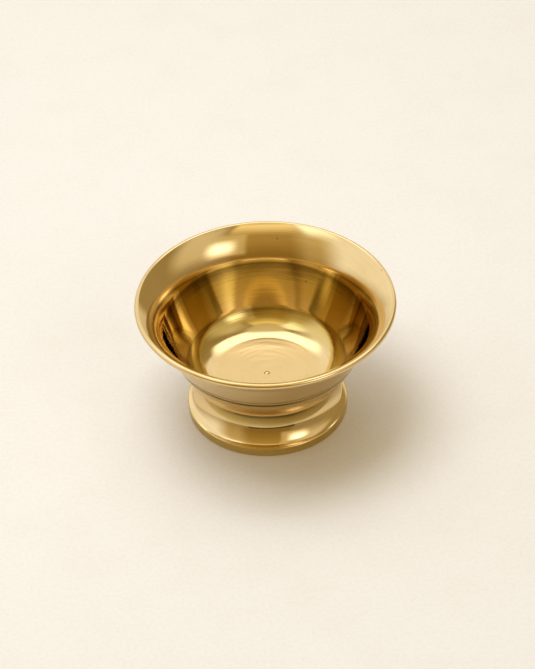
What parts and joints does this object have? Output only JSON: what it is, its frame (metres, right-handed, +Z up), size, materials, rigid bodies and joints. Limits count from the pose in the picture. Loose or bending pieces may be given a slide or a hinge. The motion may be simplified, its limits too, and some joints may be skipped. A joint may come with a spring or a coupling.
{
  "type": "offering bowl",
  "caption": "Small polished brass offering bowl: a flared cup with a beaded rim and a scribed line, soldered onto a hollow pedestal foot. Holds water or other altar offerings.",
  "frame": {"origin": "centre of the foot's underside, on the surface that the bowl stands on", "axes": "+Z up along the axis that both pieces are turned about; X and Y are free, because the bowl is round"},
  "size_m": [0.08, 0.08, 0.0415],
  "materials": {
    "polished_brass": "mirror polished, with fine turning marks",
    "foot_brass": "polished, with fine turning marks",
    "solder": "dull satin"
  },
  "bodies": {
    "root": {"bowl": "polished_brass", "foot": "foot_brass", "solder_ring": "solder"}
  },
  "joints": []
}
